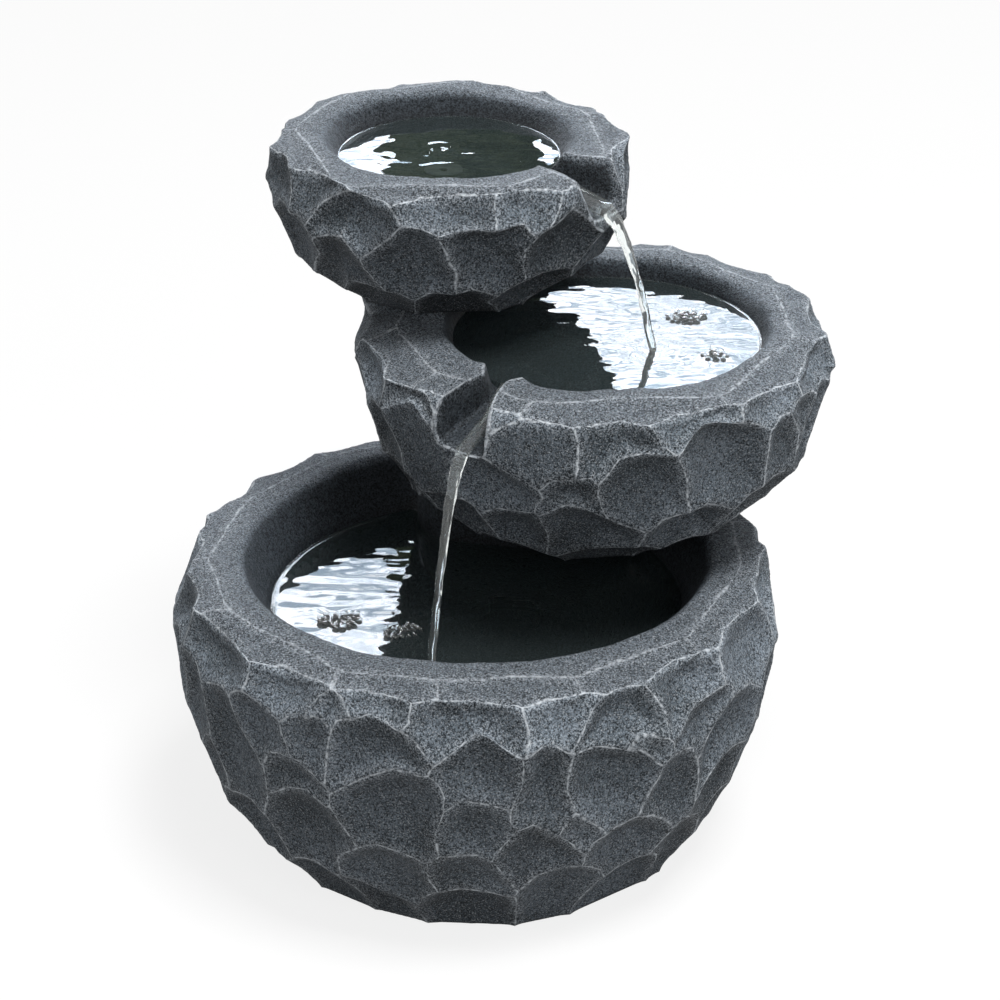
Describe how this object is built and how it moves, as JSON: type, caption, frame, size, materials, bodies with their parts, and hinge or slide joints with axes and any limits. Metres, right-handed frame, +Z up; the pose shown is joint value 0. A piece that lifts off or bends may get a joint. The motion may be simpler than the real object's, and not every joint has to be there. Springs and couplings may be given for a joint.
{
  "type": "tiered bowl garden fountain",
  "caption": "Free-standing garden fountain of stacked chiselled stone-effect bowls; a hidden pump lifts water to the top bowl and it spills from bowl to bowl through notches",
  "frame": {"origin": "centre of the lower bowl's flat foot, on the ground", "axes": "+Z up; -Y towards the viewer of the picture; +X to the viewer's right, where the middle bowl stands"},
  "size_m": [0.4462, 0.4642, 0.437],
  "materials": {
    "stone": "cast resin, chiselled stone effect, matt",
    "pump_plastic": "moulded black",
    "fitting_plastic": "moulded dark grey",
    "rubber": "soft black",
    "sponge": "open-cell foam",
    "magnet": "sintered ferrite",
    "ceramic_pin": "ground",
    "hose": "smooth black",
    "spring_steel": "plain spring steel"
  },
  "bodies": {
    "lower_tier": {"lower_bowl": "stone", "pump_housing": "pump_plastic", "impeller_cover": "pump_plastic", "cable_gland": "rubber", "suction_feet": "rubber", "shaft_bushes": "rubber", "rotor_shaft": "ceramic_pin", "cover_seal": "rubber", "riser_hose": "hose", "hose_clip": "spring_steel", "cable_grommet": "rubber"},
    "rotor": {"rotor_magnet": "magnet", "impeller": "pump_plastic"},
    "strainer": {"strainer_cover": "pump_plastic", "filter_sponge": "sponge"},
    "dial": {"flow_dial": "pump_plastic"},
    "middle_tier": {"middle_bowl": "stone", "hose_grommet": "rubber"},
    "top_tier": {"top_bowl": "stone", "outlet_fitting": "fitting_plastic", "outlet_washer": "rubber", "outlet_nut": "fitting_plastic"}
  },
  "joints": [
    {"name": "middle_lift", "type": "slide", "parent": "lower_tier", "child": "middle_tier", "axis": [0, 0, 1], "range_m": [0, 0.04]},
    {"name": "top_lift", "type": "slide", "parent": "middle_tier", "child": "top_tier", "axis": [0, 0, 1], "range_m": [0, 0.04]},
    {"name": "rotor_spin", "type": "hinge", "parent": "lower_tier", "child": "rotor", "pos_m": [0.0325, 0.11, 0.058], "axis": [-0.978, 0.2086, 0], "continuous": true},
    {"name": "strainer_pull", "type": "slide", "parent": "lower_tier", "child": "strainer", "axis": [-0.978, 0.2086, 0], "range_m": [0, 0.014]},
    {"name": "dial_turn", "type": "hinge", "parent": "strainer", "child": "dial", "pos_m": [0.0325, 0.11, 0.058], "axis": [-0.978, 0.2086, 0], "range_deg": [0, 45]}
  ]
}
